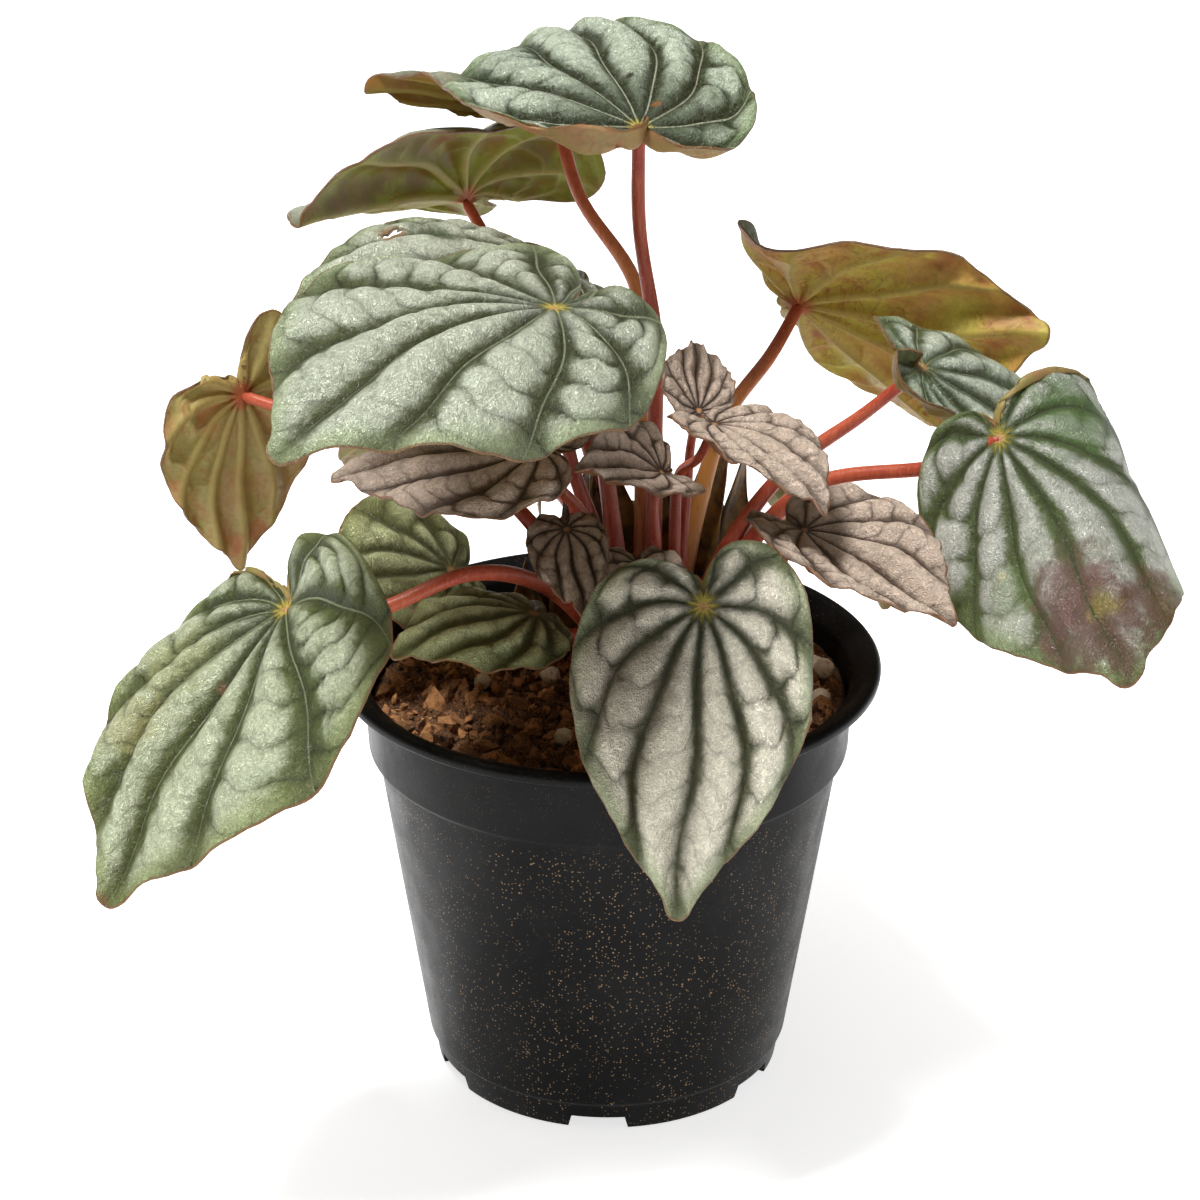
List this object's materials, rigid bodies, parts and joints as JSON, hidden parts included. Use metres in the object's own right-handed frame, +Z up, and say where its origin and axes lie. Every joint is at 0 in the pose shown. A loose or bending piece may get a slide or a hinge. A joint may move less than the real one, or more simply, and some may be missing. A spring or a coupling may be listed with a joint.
{
  "type": "potted peperomia",
  "caption": "Small potted peperomia: a round nursery pot filled with bark soil, red stalks and heart-shaped silver-green leaves with sunken veins.",
  "frame": {"origin": "on the floor under the middle of the plant's spread; the pot's axis is 5 mm from it towards -X", "axes": "+Z up, the pot standing on its feet; -Y towards the front, the side with the low front leaf and the widest view of the plant; +X to the right seen from the front"},
  "size_m": [0.2228, 0.2034, 0.2245],
  "materials": {
    "pot_plastic": "satin black moulded plastic with fine tan dust specks",
    "soil": "matte crumbly bark and coco mix with a few pale perlite balls",
    "stalk": "satin translucent brick-red stalks",
    "silver_leaf": "satin silver-green blades with dark green sunken veins and a thin brown-red margin",
    "young_leaf": "satin taupe-brown pleated blades",
    "olive_leaf": "satin; olive-brown reddish underside with pale veins, silver-green top"
  },
  "bodies": {
    "root": {"pot": "pot_plastic", "soil": "soil", "crown_and_stalks": "stalk", "leaf_crest": "silver_leaf", "leaf_rear_left": "olive_leaf", "leaf_rear_top": "olive_leaf", "leaf_front_left": "silver_leaf", "leaf_torn": "silver_leaf", "leaf_hanging_left": "olive_leaf", "leaf_low_left": "silver_leaf", "leaf_front": "silver_leaf", "leaf_right": "silver_leaf", "leaf_rear_right": "olive_leaf", "leaf_right_small": "silver_leaf", "young_leaf_left": "young_leaf", "young_leaf_center": "young_leaf", "young_leaf_right": "young_leaf", "young_leaf_pleated": "young_leaf", "young_leaf_low_right": "young_leaf", "young_leaf_front": "young_leaf", "young_leaf_tiny": "young_leaf", "leaf_low_behind": "silver_leaf", "leaf_low_front": "silver_leaf", "leaf_back_right": "silver_leaf", "leaf_back_left": "silver_leaf", "leaf_back_middle": "silver_leaf"}
  },
  "joints": []
}
